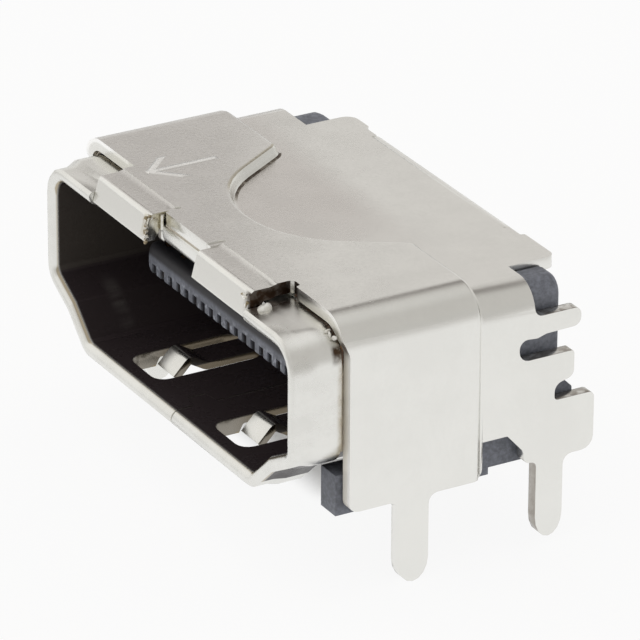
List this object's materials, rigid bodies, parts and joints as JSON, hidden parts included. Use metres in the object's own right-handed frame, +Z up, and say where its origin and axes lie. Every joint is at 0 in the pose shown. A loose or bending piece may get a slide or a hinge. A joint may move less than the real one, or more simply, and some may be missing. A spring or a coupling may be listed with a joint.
{
  "type": "hdmi socket",
  "caption": "Board-mounted socket with a flared D-shaped mouth, a flat contact tongue and solder legs, for a flat digital video plug.",
  "frame": {"origin": "middle of the bounding box at the height of the front legs' tips", "axes": "X across the mouth, -Y out of the mouth, +Z up from the board"},
  "size_m": [0.0156, 0.0098, 0.0087],
  "materials": {
    "outer_sheet": "nickel-plated sheet",
    "inner_sheet": "nickel-plated sheet",
    "black_resin": "moulded",
    "comb_resin": "moulded",
    "contact_metal": "gold flash"
  },
  "bodies": {
    "root": {"inner_shell": "inner_sheet", "outer_shell": "outer_sheet", "housing": "black_resin", "tail_comb": "comb_resin", "contact_01": "contact_metal", "contact_02": "contact_metal", "contact_03": "contact_metal", "contact_04": "contact_metal", "contact_05": "contact_metal", "contact_06": "contact_metal", "contact_07": "contact_metal", "contact_08": "contact_metal", "contact_09": "contact_metal", "contact_10": "contact_metal", "contact_11": "contact_metal", "contact_12": "contact_metal", "contact_13": "contact_metal", "contact_14": "contact_metal", "contact_15": "contact_metal", "contact_16": "contact_metal", "contact_17": "contact_metal", "contact_18": "contact_metal", "contact_19": "contact_metal"}
  },
  "joints": []
}
